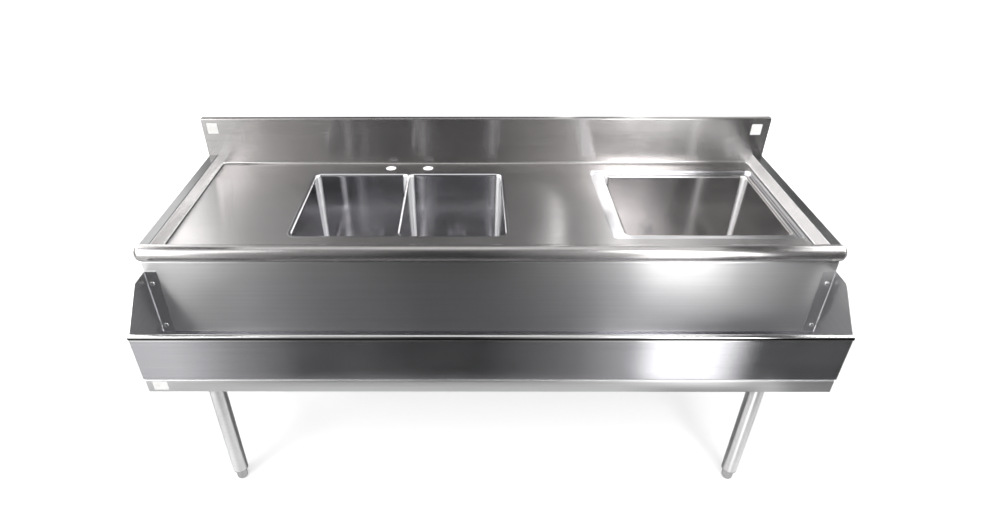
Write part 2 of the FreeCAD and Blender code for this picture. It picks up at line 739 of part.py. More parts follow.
def rail_ends():
    """End plates of the rail, each with a flange that is bolted to the apron."""
    clear = "bead_radius + bolt_fit"
    for label, side in (("rail_end_left", "-1"), ("rail_end_right", "1")):
        body = new_body(label)
        plate = sketch_on(body, "YZ_Plane", f"{side}*(rail_length - gauge)/2")
        draw(plate, [
            ("apron_y - weld_gap", "end_top"),
            ("apron_y - end_top_run", "end_top"),
            (f"bead_y + {clear}", f"bead_z + {clear}"),
            (f"bead_y + {clear}", f"bead_z - {clear}"),
            ("panel_y", f"bead_z - {clear}"),
            ("panel_y", "rail_floor", "rail_bend"),
            ("apron_y - weld_gap", "rail_floor", "rail_bend"),
        ])
        blank = pad(body, plate, "gauge", middle=True)
        nose = straight_edge(blank, y="apron_y - end_top_run", z="end_top")
        round_edges(body, blank, nose, "end_nose_round")
        flange = sketch_on(body, "XZ_Plane", "weld_gap - apron_y")
        foot = "rail_floor + rail_back_height + weld_gap"
        draw_box(flange, f"{side}*(rail_length - end_flange)/2", f"(end_top + {foot})/2",
                 "end_flange", f"end_top - ({foot})")
        for height in ("bolt_upper", "bolt_lower"):
            draw_circle(flange, f"{side}*bolt_x", height, "bolt_radius + bolt_fit")
        folded = pad(body, flange, "gauge")
        fold = straight_edge(folded, x=f"{side}*rail_inner", y="apron_y - weld_gap - gauge")
        round_edges(body, folded, fold, "rail_bend - gauge")


def rail_band():
    """The channel below the trough that stiffens it and shows as a lower band."""
    body = new_body("rail_channel")
    profile = sketch_on(body, "YZ_Plane")
    top = "rail_floor - weld_gap"
    foot = "rail_floor - weld_gap - band_height"
    back = "apron_y - band_back_gap"
    inner = "rail_bend - gauge"
    draw(profile, [
        ("panel_y", foot),
        ("panel_y + gauge", foot),
        ("panel_y + gauge", f"{top} - gauge", inner),
        (f"{back} - gauge", f"{top} - gauge", inner),
        (f"{back} - gauge", foot),
        (back, foot),
        (back, top, "rail_bend"),
        ("panel_y", top, "rail_bend"),
    ])
    pad(body, profile, "rail_length - 2*band_end_gap", middle=True)


def rail_fasteners():
    """Button-head bolts through the end flanges and the apron, and their nuts."""
    bolts = new_body("rail_bolts")
    seat = "weld_gap + gauge - apron_y"
    heads = sketch_on(bolts, "XZ_Plane", f"{seat} + weld_gap")
    draw_bolt_circles(heads, "bolt_head_radius")
    head = pad(bolts, heads, "bolt_head_height")
    tops = straight_edge(head, y="apron_y - gauge - 2*weld_gap - bolt_head_height")
    round_edges(bolts, head, tops, "bolt_head_round")
    shanks = sketch_on(bolts, "XZ_Plane", f"{seat} + weld_gap")
    draw_bolt_circles(shanks, "bolt_radius")
    pad(bolts, shanks, "bolt_length", reverse=True)
    nuts = new_body("rail_nuts")
    rings = sketch_on(nuts, "XZ_Plane", "0 - apron_y - gauge - weld_gap")
    for side in ("-1", "1"):
        for height in ("bolt_upper", "bolt_lower"):
            draw_hexagon(rings, f"{side}*bolt_x", height, "nut_radius")
            draw_circle(rings, f"{side}*bolt_x", height, "bolt_radius + weld_gap")
    pad(nuts, rings, "nut_height", reverse=True)


def channel(label, start, end, y):
    """A channel under the deck, open upwards, that carries leg sockets."""
    body = new_body(label, f"({start} + {end})/2", y)
    profile = sketch_on(body, "YZ_Plane")
    half = "channel_width/2"
    inner = "channel_bend - gauge"
    draw(profile, [
        (f"0 - {half}", "channel_top"),
        (f"0 - {half}", "channel_foot", "channel_bend"),
        (half, "channel_foot", "channel_bend"),
        (half, "channel_top"),
        (f"{half} - gauge", "channel_top"),
        (f"{half} - gauge", "channel_foot + gauge", inner),
        (f"gauge - {half}", "channel_foot + gauge", inner),
        (f"gauge - {half}", "channel_top"),
    ])
    pad(body, profile, f"{end} - ({start})", middle=True)


def leg_channels():
    """One channel along the front, and two along the back that leave the tap holes free."""
    channel("front_channel", "0 - channel_end", "channel_end", "leg_front_y")
    channel("rear_channel_left", "0 - channel_end", "divider_x - tap_spacing/2 - tap_clear",
            "leg_rear_y")
    channel("rear_channel_right", "divider_x + tap_spacing/2 + tap_clear", "channel_end",
            "leg_rear_y")


def leg(place, side, y):
    """A leg: flanged socket, tube, threaded insert and bullet foot."""
    x = f"{side}*leg_x"
    socket = new_body(f"leg_socket_{place}", x, y, "channel_foot - weld_gap")
    bore = "leg_radius + socket_fit"
    revolve(socket, [("0", "0"), ("socket_flange_radius", "0"),
                     ("socket_flange_radius", "0 - socket_flange"),
                     ("socket_top_radius", "0 - socket_flange"),
                     ("socket_foot_radius", "0 - socket_height"),
                     (bore, "0 - socket_height"), (bore, "0 - socket_flange"),
                     ("0", "0 - socket_flange")])
    hole = sketch_on(socket, "YZ_Plane")
    draw_circle(hole, "0", "screw_rise - socket_height", "screw_radius + weld_gap")
    cut(socket, hole, "socket_flange_radius", reverse=side == "1")

    tube = new_body(f"leg_tube_{place}", x, y)
    bore = "leg_radius - leg_wall"
    revolve(tube, [(bore, "tube_foot"), ("leg_radius", "tube_foot"),
                   ("leg_radius", "tube_top"), (bore, "tube_top")])

    plug = new_body(f"leg_insert_{place}", x, y, "foot_height")
    core = "leg_radius - leg_wall - insert_fit"
    thread = "stem_radius + stem_fit"
    revolve(plug, [(thread, "0"), ("leg_radius", "0"), ("leg_radius", "insert_flange - weld_gap"),
                   (core, "insert_flange - weld_gap"), (core, "insert_flange + insert_depth"),
                   (thread, "insert_flange + insert_depth")])

    foot = new_body(f"foot_{place}", x, y)
    top = "foot_height - foot_seat_gap"
    revolve(foot, [("0", "0"), ("foot_radius", "0", "foot_round"),
                   ("foot_radius", f"{top} - foot_shoulder"), ("foot_neck_radius", top),
                   ("stem_radius", top), ("stem_radius", f"{top} + stem_length"),
                   ("0", f"{top} + stem_length")])


def legs():
    """Four legs, and the set screws that hold them in their sockets."""
    for place, side, y in (("front_left", "-1", "leg_front_y"), ("front_right", "1", "leg_front_y"),
                           ("rear_left", "-1", "leg_rear_y"), ("rear_right", "1", "leg_rear_y")):
        leg(place, side, y)
    screws = new_body("leg_set_screws")
    for side in ("-1", "1"):
        ends = sketch_on(screws, "YZ_Plane", f"{side}*(leg_x + leg_radius + weld_gap)")
        for y in ("leg_front_y", "leg_rear_y"):
            draw_circle(ends, y, "screw_z - weld_gap", "screw_radius")
        pad(screws, ends, "screw_length", reverse=side == "-1")


def drain(place, x, y, floor):
    """A drain through a bowl's floor, with a gasket, lock nut, tailpiece and lift-out strainer."""
    body = new_body(f"drain_body_{place}", x, y, f"{floor} + weld_gap")
    throat = "drain_throat_radius"
    barrel = "drain_barrel_radius"
    shelf = "drain_flange - drain_recess"
    counterbore = "tail_radius + tail_collar + tail_fit"
    revolve(body, [(throat, "tail_socket - drain_length"), (counterbore, "tail_socket - drain_length"),
                   (counterbore, "0 - drain_length"), (barrel, "0 - drain_length"), (barrel, "0"),
                   ("drain_flange_radius", "0"),
                   ("drain_flange_radius", "drain_flange", "drain_flange_round"),
                   ("recess_radius", "drain_flange"), ("recess_radius", shelf), (throat, shelf)])

    below = f"{floor} - gauge - weld_gap"
    ring = "drain_barrel_radius + thread_fit"
    gasket = new_body(f"drain_gasket_{place}", x, y, below)
    revolve(gasket, [(ring, "0 - gasket_thickness"), (f"{ring} + gasket_width", "0 - gasket_thickness"),
                     (f"{ring} + gasket_width", "0"), (ring, "0")])

    nut = new_body(f"drain_locknut_{place}", x, y, f"{below} - gasket_thickness - weld_gap")
    outline = sketch_on(nut, "XY_Plane")
    draw_hexagon(outline, "0", "0", "locknut_radius")
    draw_circle(outline, "0", "0", ring)
    pad(nut, outline, "locknut_height", reverse=True)

    tail = new_body(f"drain_tail_{place}", x, y, f"{floor} + tail_socket - drain_length")
    bore = "tail_radius - tail_wall"
    collar = "tail_radius + tail_collar"
    revolve(tail, [(bore, "0 - tail_length"), ("tail_radius", "0 - tail_length"),
                   ("tail_radius", "0 - tail_socket"), (collar, "0 - tail_socket"),
                   (collar, "0"), (bore, "0")])

    strainer = new_body(f"strainer_{place}", x, y, f"{floor} + weld_gap + strainer_seat")
    knob_top = "strainer_thickness + knob_rise + knob_height"
    revolve(strainer, [("0", "0"), ("strainer_radius", "0"), ("strainer_radius", "strainer_thickness"),
                       ("knob_stem_radius", "strainer_thickness"),
                       ("knob_stem_radius", "strainer_thickness + knob_rise"),
                       ("knob_radius", "strainer_thickness + knob_rise"),
                       ("knob_radius", knob_top, "knob_round"), ("0", knob_top)])
    hole = sketch_on(strainer, "XY_Plane", "strainer_thickness + weld_gap")
    draw_circle(hole, "strainer_hole_ring", "0", "strainer_hole_radius")
    first = cut(strainer, hole, "strainer_thickness + cut_overrun")
    ring_of_holes = strainer.newObject("PartDesign::PolarPattern", strainer.Name + "_holes")
    ring_of_holes.Originals = [first]
    ring_of_holes.Axis = (hole, ["N_Axis"])
    ring_of_holes.Occurrences = STRAINER_HOLES
    strainer.Tip = ring_of_holes
    doc.recompute()


def drains():
    """The drains of the three bowls."""
    drain("left", "divider_x - small_pitch", "small_y", "deck_height - small_depth")
    drain("middle", "divider_x + small_pitch", "small_y", "deck_height - small_depth")
    drain("right", "well_x", "well_y", "deck_height - well_depth")


def check_model():
    """Stop if anything in the document failed or a piece isn't a sound solid."""
    doc.recompute()
    for item in doc.Objects:
        if "Invalid" in item.State or "Error" in item.State:
            raise ValueError(f"{item.Label} failed")
    for body in nodes:
        if body.Shape.isNull() or not body.Shape.isValid() or not body.Shape.Solids:
            raise ValueError(f"{body.Label} isn't a sound solid")


def write_parts():
    """Write each piece to its own file."""
    os.makedirs("parts", exist_ok=True)
    for body in nodes:
        body.Shape.exportStep(f"parts/{body.Label}.step")


fill_sheet()
sheet_top()
end_lips()
roll_caps()
small_bowls()
well()
front_apron()
rail_trough()
rail_ends()
rail_band()
rail_fasteners()
leg_channels()
legs()
drains()
check_model()
write_parts()
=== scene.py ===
import json
import math

import bmesh
import bpy
from mathutils import Matrix, Vector


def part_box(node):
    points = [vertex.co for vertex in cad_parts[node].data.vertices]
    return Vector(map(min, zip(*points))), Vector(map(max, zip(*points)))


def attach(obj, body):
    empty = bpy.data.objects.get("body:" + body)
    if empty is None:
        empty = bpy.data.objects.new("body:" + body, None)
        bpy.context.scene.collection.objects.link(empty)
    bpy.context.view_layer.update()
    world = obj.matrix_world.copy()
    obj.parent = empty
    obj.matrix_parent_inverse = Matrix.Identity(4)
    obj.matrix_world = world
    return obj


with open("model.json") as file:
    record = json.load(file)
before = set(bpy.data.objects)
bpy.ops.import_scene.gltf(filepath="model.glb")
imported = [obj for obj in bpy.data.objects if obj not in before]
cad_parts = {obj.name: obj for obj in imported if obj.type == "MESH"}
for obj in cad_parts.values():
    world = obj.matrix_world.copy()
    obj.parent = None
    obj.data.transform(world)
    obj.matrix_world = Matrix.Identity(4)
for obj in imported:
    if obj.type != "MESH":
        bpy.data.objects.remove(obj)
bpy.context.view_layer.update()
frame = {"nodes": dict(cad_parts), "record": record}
nodes = frame["nodes"]

# The photograph's camera, in pixels of its frame, radians and metres.
PHOTO_WIDTH = 1000
FOCAL_PIXELS = 646.3
CENTRE_X = 467.2
PITCH = 0.5936
YAW = -0.00415
ROLL = -0.00222
EYE = Vector((-0.0431, -1.3444, 1.5382))
SENSOR_WIDTH = 36.0
CLIP_START = 0.05

# Directions of brushing. A tube is brushed round itself. The small tilt keeps a grain off every normal.
ALONG = (1.0, 0.0, 0.0)
ACROSS = (0.0, 1.0, 0.0)
UPRIGHT = (0.0, 0.0, 1.0)
ROUND = (1.0, 1.0, 0.0)
TILT = (0.013, 0.017, 0.011)

# Faint hues of the steel, and the darkest and lightest cast within each kind of finish.
NEUTRAL = (1.0, 1.0, 1.0)
WARM = (1.025, 1.0, 0.99)
COOL = (1.0, 0.995, 1.035)
FAINT_WARM = (1.012, 1.0, 0.995)
FAINT_COOL = (1.0, 0.998, 1.018)
BRUSHED_CASTS = ((0.94, 0.94, 0.945), (1.05, 1.045, 1.045))
SATIN_CASTS = ((0.93, 0.93, 0.94), (1.06, 1.05, 1.05))
POLISHED_CASTS = ((0.92, 0.92, 0.93), (1.0, 1.0, 1.01))

# Brushed steel: noise steps per metre along and across the grain, changes of gloss, and depths in metres.
HAIR_ALONG, HAIR_ACROSS = 9.0, 2600.0
BAND_ALONG, BAND_ACROSS = 1.5, 160.0
CLOUD_SCALE = 5.0
WAVE_SCALE = 3.2
HAIR_GLOSS = 0.015
CLOUD_GLOSS = 0.04
HAIR_DEPTH = 0.0002
HAIR_STRENGTH = 0.015
WAVE_DEPTH = 0.004
# How far up a face must look to take the painted shade of a top.
LOOKING_UP = (0.75, 0.95)

# The rail's bead: the heights of a dark band of painted shade under it, how far below them a strip of
# painted highlight starts, where its polish starts below them, and the tones of the painted highlight and
# painted shade.
BEAD_SHADE_HEIGHTS = (0.6592, 0.6677)
BEAD_FOOT = 0.0035
BEAD_EDGE = 0.0004
BEAD_BLEND = (0.004, 0.003)
BEAD_PAINTED_HIGHLIGHT = 0.95
BEAD_PAINTED_SHADE = 0.06
BEAD_POLISH = 0.08

# Drawn bowls: scratches level all round, and upright corners that are ground duller and painted paler as a
# highlight.
SATIN_HAIRS = (18.0, 18.0, 2600.0)
SATIN_STRENGTH = 0.001
SATIN_CLOUDS = 7.0
SATIN_ANISO = 0.7
CORNER_TURN = (0.05, 0.35)
CORNER_HIGHLIGHT_TONE = 0.97
CORNER_DULL = 0.42

# Blank stickers: name, middle along x and z, width and height, in metres.
SPLASH_LABELS = (("label_splash_left", (-0.735, 0.873), 0.028, 0.030),
                 ("label_splash_right", (0.728, 0.869), 0.028, 0.030))
CHANNEL_LABEL = ("label_channel", (-0.719, 0.5305), 0.032, 0.025)
LABEL_THICKNESS = 0.0003
LABEL_CORNER = 0.002
LABEL_TURNS = 6
WELD_GAP = 0.0001

# Lights of the studio cards: places along the card, in metres, each with its level. In front are a softbox
# either side of a dark gap, a low strip of the same before the rail, and a narrow one under it. A second row
# stands behind the sink, and the cards at its ends are bright only high up. A dim sheet on the floor under
# the sink is painted shade, standing in for its shadow where the steel mirrors the floor.
LEFT_LIGHTS = [(-6.0, 0.4), (-4.6, 2.8), (-2.45, 2.8), (-2.2, 0.4), (-1.4, 0.3), (-0.5, 0.06), (0.0, 0.06),
               (0.8, 0.4)]
RIGHT_LIGHTS = [(0.1, 0.12), (0.4, 0.4), (0.72, 0.8), (0.85, 4.6), (1.24, 4.6), (1.32, 0.2), (1.8, 0.1),
                (3.2, 0.2)]
NEAR_LIGHTS = [(-1.6, 0.4), (-0.85, 0.8), (-0.7, 0.35), (-0.5, 0.08), (0.0, 0.04), (0.25, 0.2), (0.4, 0.5),
               (0.48, 2.0), (0.62, 2.0), (0.72, 0.06), (1.6, 0.1)]
BAND_LIGHTS = [(-0.9, 0.5), (0.3, 0.5), (0.42, 0.12), (0.6, 0.12), (0.64, 0.5), (0.69, 0.1), (0.9, 0.1)]
BACK_LIGHTS = [(-3.6, 0.8), (-2.3, 2.2), (-2.0, 1.9), (-1.75, 0.5), (-1.2, 0.35), (-0.9, 0.14), (-0.2, 0.14),
               (0.5, 0.22), (0.56, 2.4), (0.62, 0.3), (0.9, 0.4), (1.0, 2.2), (1.1, 0.9), (1.7, 0.9),
               (1.95, 0.35), (2.3, 0.12), (3.6, 0.3)]
SIDE_LIGHTS = [(0.0, 0.35), (1.6, 0.35), (2.2, 0.9), (2.6, 4.8), (6.0, 4.8)]
BRIGHTEST = 5.0
BEHIND_SHADE_LEVEL = 0.12
MAT_LEVEL = 1.1
SIDE_X = 3.6
MAT_X = 0.55
MAT_HALF = 0.3

# The surround, the floor and the lamps.
WHITE = (1.0, 1.0, 1.0, 1.0)
FILL_LIGHT = 0.08
FLOOR_HALF = 8
FLOOR_TONE = 0.9
FLOOR_ROUGH = 0.9
FLOOR_GLOW = (0.42, 1.0)
FLOOR_REACH = (1.2, 2.6)
AIM = Vector((0.0, 0.0, 0.7))
SUN_SPOT = (-0.5, -1.6, 2.5)
SUN_STRENGTH = 1.5
SUN_SPREAD = math.radians(50.0)
TOP_SPOT = (0.0, 0.1, 2.8)
TOP_SIZE = (2.6, 1.6)
TOP_WATTS = 12.0


def add_camera():
    """The photograph's view."""
    data = bpy.data.cameras.new("view")
    data.sensor_width = SENSOR_WIDTH
    data.sensor_fit = "HORIZONTAL"
    data.lens = data.sensor_width * FOCAL_PIXELS / PHOTO_WIDTH
    data.shift_x = 0.5 - CENTRE_X / PHOTO_WIDTH
    data.clip_start = CLIP_START
    ahead = Vector((math.sin(YAW), math.cos(YAW), 0.0))
    level = Vector((math.cos(YAW), -math.sin(YAW), 0.0))
    forward = ahead * math.cos(PITCH) - Vector(UPRIGHT) * math.sin(PITCH)
    up = ahead * math.sin(PITCH) + Vector(UPRIGHT) * math.cos(PITCH)
    right = level * math.cos(ROLL) + up * math.sin(ROLL)
    up = up * math.cos(ROLL) - level * math.sin(ROLL)
    turn = Matrix((right, up, -forward)).transposed().to_4x4()
    camera = bpy.data.objects.new("view", data)
    bpy.context.scene.collection.objects.link(camera)
    camera.matrix_world = Matrix.Translation(EYE) @ turn
    bpy.context.scene.camera = camera


def node_in(tree, kind, **sockets):
    """Add a shader node and set its plain sockets."""
    node = tree.nodes.new(kind)
    for name, value in sockets.items():
        node.inputs[name.replace("_", " ")].default_value = value
    return node


def new_material(name, metal=False):
    """A node material with its output and surface shader."""
    material = bpy.data.materials.new(name)
    material.use_nodes = True
    tree = material.node_tree
    tree.nodes.clear()
    output = tree.nodes.new("ShaderNodeOutputMaterial")
    surface = tree.nodes.new("ShaderNodeBsdfPrincipled")
    surface.inputs["Metallic"].default_value = 1.0 if metal else 0.0
    tree.links.new(surface.outputs["BSDF"], output.inputs["Surface"])
    return material, tree, surface


def place_in(tree):
    """The piece's own coordinates."""
    return tree.nodes.new("ShaderNodeTexCoord").outputs["Object"]


def parts_of(tree, vector):
    """The X, Y and Z of a vector."""
    node = tree.nodes.new("ShaderNodeSeparateXYZ")
    tree.links.new(vector, node.inputs["Vector"])
    return node.outputs


def ranged(tree, source, low, high, start=0.3, end=0.7):
    """Spread part of a value's range over two others. A noise's middle range is the usual one."""
    node = node_in(tree, "ShaderNodeMapRange", From_Min=start, From_Max=end, To_Min=low, To_Max=high)
    tree.links.new(source, node.inputs["Value"])
    return node.outputs["Result"]


def computed(tree, operation, *sources):
    """Work out one value from others."""
    node = tree.nodes.new("ShaderNodeMath")
    node.operation = operation
    for place, source in enumerate(sources):
        tree.links.new(source, node.inputs[place])
    return node.outputs["Value"]


def mixed(tree, factor, first, second):
    """Blend two colours, each a plain one or another node's output."""
    node = tree.nodes.new("ShaderNodeMix")
    node.data_type = "RGBA"
    tree.links.new(factor, node.inputs["Factor"])
    for name, colour in (("A", first), ("B", second)):
        if isinstance(colour, tuple):
            node.inputs[name].default_value = colour
        else:
            tree.links.new(colour, node.inputs[name])
    return node.outputs["Result"]


def noise(tree, place, scale, detail, stretch=(1.0, 1.0, 1.0)):
    """A noise texture over a place."""
    mapping = node_in(tree, "ShaderNodeMapping", Scale=stretch)
    tree.links.new(place, mapping.inputs["Vector"])
    texture = node_in(tree, "ShaderNodeTexNoise", Scale=scale, Detail=detail, Roughness=0.55)
    tree.links.new(mapping.outputs["Vector"], texture.inputs["Vector"])
    return texture.outputs["Fac"]


def bumped(tree, height, strength, depth, under=None):
    """Raise a surface by a texture, on top of another bump where there is one."""
    node = node_in(tree, "ShaderNodeBump", Strength=strength, Distance=depth)
    tree.links.new(height, node.inputs["Height"])
    if under is not None:
        tree.links.new(under, node.inputs["Normal"])
    return node.outputs["Normal"]


def grey(tone):
    """A plain grey."""
    return (tone, tone, tone, 1.0)


def tinted(tone, cast, hue=NEUTRAL):
    """A grey with the cast of one finish and the hue of one piece."""
    return tuple(tone * part * shift for part, shift in zip(cast, hue)) + (1.0,)


def crossed(tree, normal, grain):
    """The direction in a surface that lies across its grain."""
    cross = tree.nodes.new("ShaderNodeVectorMath")
    cross.operation = "CROSS_PRODUCT"
    cross.inputs[1].default_value = [part + tilt for part, tilt in zip(grain, TILT)]
    tree.links.new(normal, cross.inputs[0])
    return cross.outputs["Vector"]


def upright_in(tree, normal):
    """The direction up a wall, whichever way the wall faces."""
    rising = tree.nodes.new("ShaderNodeVectorMath")
    rising.operation = "CROSS_PRODUCT"
    tree.links.new(normal, rising.inputs[0])
    tree.links.new(crossed(tree, normal, UPRIGHT), rising.inputs[1])
    return rising.outputs["Vector"]


def with_painted_bead(tree, height, colour, gloss, shade_heights):
    """Polish a rim's bead, paint a dark band of shade between two heights, and paint what lies above the
    band and a strip below it bright, as a highlight.
    """
    low, high = shade_heights
    for level, tone in ((low - BEAD_FOOT, BEAD_PAINTED_HIGHLIGHT), (low, BEAD_PAINTED_SHADE), (high, BEAD_PAINTED_HIGHLIGHT)):
        step = ranged(tree, height, 0.0, 1.0, level - BEAD_EDGE, level + BEAD_EDGE)
        colour = mixed(tree, step, colour, grey(tone))
    below, above = BEAD_BLEND
    polish = ranged(tree, height, 0.0, -BEAD_POLISH, low - below, low - above)
    return colour, computed(tree, "ADD", gloss, polish)


def steel(name, tone, rough, grain=ALONG, aniso=1.0, wave=0.25, bead=None, top=None, hue=NEUTRAL):
    """Brushed stainless: hair-fine streaks along the grain, slow smudges and a wavy sheet.

    A bead is given as the heights of a dark band of painted shade under it; what lies above the band and a
    strip below it are painted bright, a painted highlight. A top is the tone of painted shade on the faces
    that look up.
    """
    material, tree, surface = new_material(name, metal=True)
    surface.inputs["Anisotropic"].default_value = aniso
    place = place_in(tree)
    normal = tree.nodes.new("ShaderNodeNewGeometry").outputs["Normal"]
    hairs = noise(tree, place, 1.0, 2.0, [HAIR_ALONG if part else HAIR_ACROSS for part in grain])
    bands = noise(tree, place, 1.0, 3.0, [BAND_ALONG if part else BAND_ACROSS for part in grain])
    clouds = noise(tree, place, CLOUD_SCALE, 4.0)
    waves = noise(tree, place, WAVE_SCALE, 1.0)

    streak = computed(tree, "ADD", ranged(tree, hairs, 0.0, 0.5), ranged(tree, bands, 0.0, 0.5))
    dark, light = BRUSHED_CASTS
    colour = mixed(tree, streak, tinted(tone, dark, hue), tinted(tone, light, hue))
    gloss = computed(tree, "ADD", ranged(tree, hairs, rough - HAIR_GLOSS, rough + HAIR_GLOSS),
                     ranged(tree, clouds, -CLOUD_GLOSS, CLOUD_GLOSS))
    # Faces that look up are painted dark: painted shade.
    if top is not None:
        facing = ranged(tree, parts_of(tree, normal)["Z"], 0.0, 1.0, *LOOKING_UP)
        colour = mixed(tree, facing, colour, grey(top))
    # The bead gets a band of painted shade, with painted highlight above it and in a strip below it.
    if bead is not None:
        colour, gloss = with_painted_bead(tree, parts_of(tree, place)["Z"], colour, gloss, bead)
    tree.links.new(colour, surface.inputs["Base Color"])
    tree.links.new(gloss, surface.inputs["Roughness"])

    brushed = bumped(tree, hairs, HAIR_STRENGTH, HAIR_DEPTH)
    tree.links.new(bumped(tree, waves, wave, WAVE_DEPTH, under=brushed), surface.inputs["Normal"])
    across = upright_in(tree, normal) if grain == ROUND else crossed(tree, normal, grain)
    tree.links.new(across, surface.inputs["Tangent"])
    return material


def drawn_steel(name, tone, rough, hue=NEUTRAL):
    """A bowl's satin: scratched level all round, so that its corners draw upright lights. Its upright
    corners are also painted paler, a painted highlight, and are rougher like ground seams.
    """
    material, tree, surface = new_material(name, metal=True)
    surface.inputs["Anisotropic"].default_value = SATIN_ANISO
    place = place_in(tree)
    normal = tree.nodes.new("ShaderNodeNewGeometry").outputs["Normal"]
    hairs = noise(tree, place, 1.0, 2.0, SATIN_HAIRS)
    clouds = noise(tree, place, SATIN_CLOUDS, 4.0)
    facing = parts_of(tree, normal)
    corner = computed(tree, "ABSOLUTE", computed(tree, "MULTIPLY", facing["X"], facing["Y"]))

    dark, light = SATIN_CASTS
    colour = mixed(tree, ranged(tree, hairs, 0.0, 1.0), tinted(tone, dark, hue), tinted(tone, light, hue))
    # Upright corners are painted paler, a painted highlight; their added roughness is the ground seam.
    colour = mixed(tree, ranged(tree, corner, 0.0, 1.0, *CORNER_TURN), colour, grey(CORNER_HIGHLIGHT_TONE))
    gloss = computed(tree, "ADD", ranged(tree, clouds, rough - CLOUD_GLOSS, rough + CLOUD_GLOSS),
                     ranged(tree, corner, 0.0, CORNER_DULL, *CORNER_TURN))
    tree.links.new(colour, surface.inputs["Base Color"])
    tree.links.new(gloss, surface.inputs["Roughness"])
    tree.links.new(bumped(tree, hairs, SATIN_STRENGTH, HAIR_DEPTH), surface.inputs["Normal"])
    tree.links.new(upright_in(tree, normal), surface.inputs["Tangent"])
    return material


def polished(name, tone, rough):
    """Bright metal with a little unevenness in its gloss."""
    material, tree, surface = new_material(name, metal=True)
    fine = noise(tree, place_in(tree), scale=90.0, detail=4.0)
    dark, light = POLISHED_CASTS
    tree.links.new(mixed(tree, fine, tinted(tone, dark), tinted(tone, light)), surface.inputs["Base Color"])
    tree.links.new(ranged(tree, fine, rough * 0.7, rough * 1.4), surface.inputs["Roughness"])
    return material


def rubber(name):
    """Dull black gasket rubber."""
    material, tree, surface = new_material(name)
    fine = noise(tree, place_in(tree), scale=400.0, detail=3.0)
    shade = mixed(tree, fine, (0.012, 0.012, 0.012, 1.0), (0.035, 0.034, 0.033, 1.0))
    tree.links.new(shade, surface.inputs["Base Color"])
    tree.links.new(ranged(tree, fine, 0.55, 0.75), surface.inputs["Roughness"])
    return material


def label_paper(name):
    """Blank coated paper: off-white, a little yellowed in patches, with a fine tooth."""
    material, tree, surface = new_material(name)
    place = place_in(tree)
    tooth = noise(tree, place, scale=900.0, detail=3.0)
    patches = ranged(tree, noise(tree, place, scale=60.0, detail=3.0), 0.0, 1.0, start=0.4, end=0.75)
    shade = mixed(tree, patches, (0.92, 0.92, 0.91, 1.0), (0.84, 0.83, 0.80, 1.0))
    tree.links.new(shade, surface.inputs["Base Color"])
    tree.links.new(ranged(tree, tooth, 0.38, 0.55), surface.inputs["Roughness"])
    tree.links.new(bumped(tree, tooth, strength=0.15, depth=0.0002), surface.inputs["Normal"])
    return material


def dress():
    """Give every CAD piece its finish, by its material slot or, for a few, by its own name."""
    finishes = {
        "deck_steel": steel("deck_brushed", tone=0.60, rough=0.22, wave=0.4, hue=WARM),
        "bowl_steel": drawn_steel("bowl_satin", tone=0.78, rough=0.13, hue=FAINT_COOL),
        "apron_steel": steel("apron_brushed", tone=0.75, rough=0.35),
        # The rail's bead carries painted shade and painted highlight bands.
        "rail_steel": steel("rail_brushed", tone=0.64, rough=0.20, bead=BEAD_SHADE_HEIGHTS, hue=COOL),
        "band_steel": steel("band_satin", tone=0.88, rough=0.42, aniso=0.2),
        "channel_steel": steel("channel_mill", tone=0.55, rough=0.40, aniso=0.3),
        "socket_steel": polished("socket_satin", tone=0.60, rough=0.30),
        "leg_steel": steel("leg_brushed", tone=0.88, rough=0.34, grain=ROUND, wave=0.0),
        "foot_steel": polished("foot_satin", tone=0.55, rough=0.32),
        "fastener_steel": polished("fastener_bright", tone=0.8, rough=0.25),
        "drain_metal": polished("drain_polished", tone=0.68, rough=0.14),
        "gasket_rubber": rubber("gasket_rubber_dull"),
    }
    # The end lips are a paler copy of the deck steel, a painted highlight on their walls, and their tops are
    # painted dark, a painted shade.
    lip = steel("lip_brushed_painted_light", tone=0.94, rough=0.20, top=0.28)
    rail_end = steel("rail_end_brushed", tone=0.62, rough=0.30, grain=ACROSS, aniso=0.4)
    well = drawn_steel("well_satin", tone=0.75, rough=0.17, hue=FAINT_WARM)
    own = {"end_lip_left": lip, "end_lip_right": lip, "rail_end_left": rail_end, "rail_end_right": rail_end,
           "bowl_right": well}
    for entry in frame["record"]["subparts"]:
        piece = nodes[entry["node"]]
        piece.data.materials.clear()
        piece.data.materials.append(own.get(entry["node"], finishes[entry["material_slot"]]))


